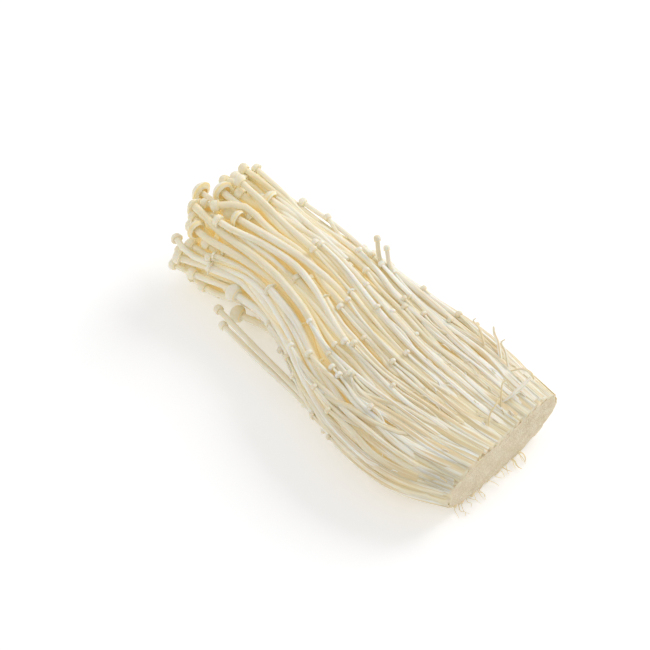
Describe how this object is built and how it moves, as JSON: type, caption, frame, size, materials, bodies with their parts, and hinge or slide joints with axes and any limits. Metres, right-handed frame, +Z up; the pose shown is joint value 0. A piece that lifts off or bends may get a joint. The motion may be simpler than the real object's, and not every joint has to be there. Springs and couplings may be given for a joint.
{
  "type": "enoki mushroom bunch",
  "caption": "Cut bunch of enoki mushrooms lying on its side, long thin pale stems with small domed caps rising from one fused root block.",
  "frame": {"origin": "centre of the bunch's bounding box at its underside, on the surface that it lies on", "axes": "+X towards the cut face of the root block and -X towards the caps, +Y across the bunch, +Z up"},
  "size_m": [0.1506, 0.0706, 0.0416],
  "materials": {
    "stem_flesh": "moist satin mushroom flesh, cream white, warmer towards the caps",
    "root_flesh": "matte, fine-grained fused stem bases, beige"
  },
  "bodies": {
    "root": {"root_block": "root_flesh", "top_mushroom_01": "stem_flesh", "top_mushroom_02": "stem_flesh", "top_mushroom_03": "stem_flesh", "top_mushroom_04": "stem_flesh", "top_mushroom_05": "stem_flesh", "top_mushroom_06": "stem_flesh", "top_mushroom_07": "stem_flesh", "top_mushroom_08": "stem_flesh", "top_mushroom_09": "stem_flesh", "top_mushroom_10": "stem_flesh", "top_mushroom_11": "stem_flesh", "top_mushroom_12": "stem_flesh", "top_mushroom_13": "stem_flesh", "top_mushroom_14": "stem_flesh", "top_mushroom_15": "stem_flesh", "top_mushroom_16": "stem_flesh", "middle_mushroom_01": "stem_flesh", "middle_mushroom_02": "stem_flesh", "middle_mushroom_03": "stem_flesh", "middle_mushroom_04": "stem_flesh", "middle_mushroom_05": "stem_flesh", "middle_mushroom_06": "stem_flesh", "middle_mushroom_07": "stem_flesh", "middle_mushroom_08": "stem_flesh", "middle_mushroom_09": "stem_flesh", "middle_mushroom_10": "stem_flesh", "middle_mushroom_11": "stem_flesh", "middle_mushroom_12": "stem_flesh", "middle_mushroom_13": "stem_flesh", "middle_mushroom_14": "stem_flesh", "middle_mushroom_15": "stem_flesh", "middle_mushroom_16": "stem_flesh", "middle_mushroom_17": "stem_flesh", "middle_mushroom_18": "stem_flesh", "middle_mushroom_19": "stem_flesh", "middle_mushroom_20": "stem_flesh", "middle_mushroom_21": "stem_flesh", "middle_mushroom_22": "stem_flesh", "middle_mushroom_23": "stem_flesh", "middle_mushroom_24": "stem_flesh", "middle_mushroom_25": "stem_flesh", "bottom_mushroom_01": "stem_flesh", "bottom_mushroom_02": "stem_flesh", "bottom_mushroom_03": "stem_flesh", "bottom_mushroom_04": "stem_flesh", "bottom_mushroom_05": "stem_flesh", "bottom_mushroom_06": "stem_flesh", "bottom_mushroom_07": "stem_flesh", "bottom_mushroom_08": "stem_flesh", "bottom_mushroom_09": "stem_flesh", "bottom_mushroom_10": "stem_flesh", "bottom_mushroom_11": "stem_flesh", "bottom_mushroom_12": "stem_flesh", "bottom_mushroom_13": "stem_flesh", "bottom_mushroom_14": "stem_flesh", "bottom_mushroom_15": "stem_flesh", "bottom_mushroom_16": "stem_flesh", "bottom_mushroom_17": "stem_flesh"}
  },
  "joints": []
}
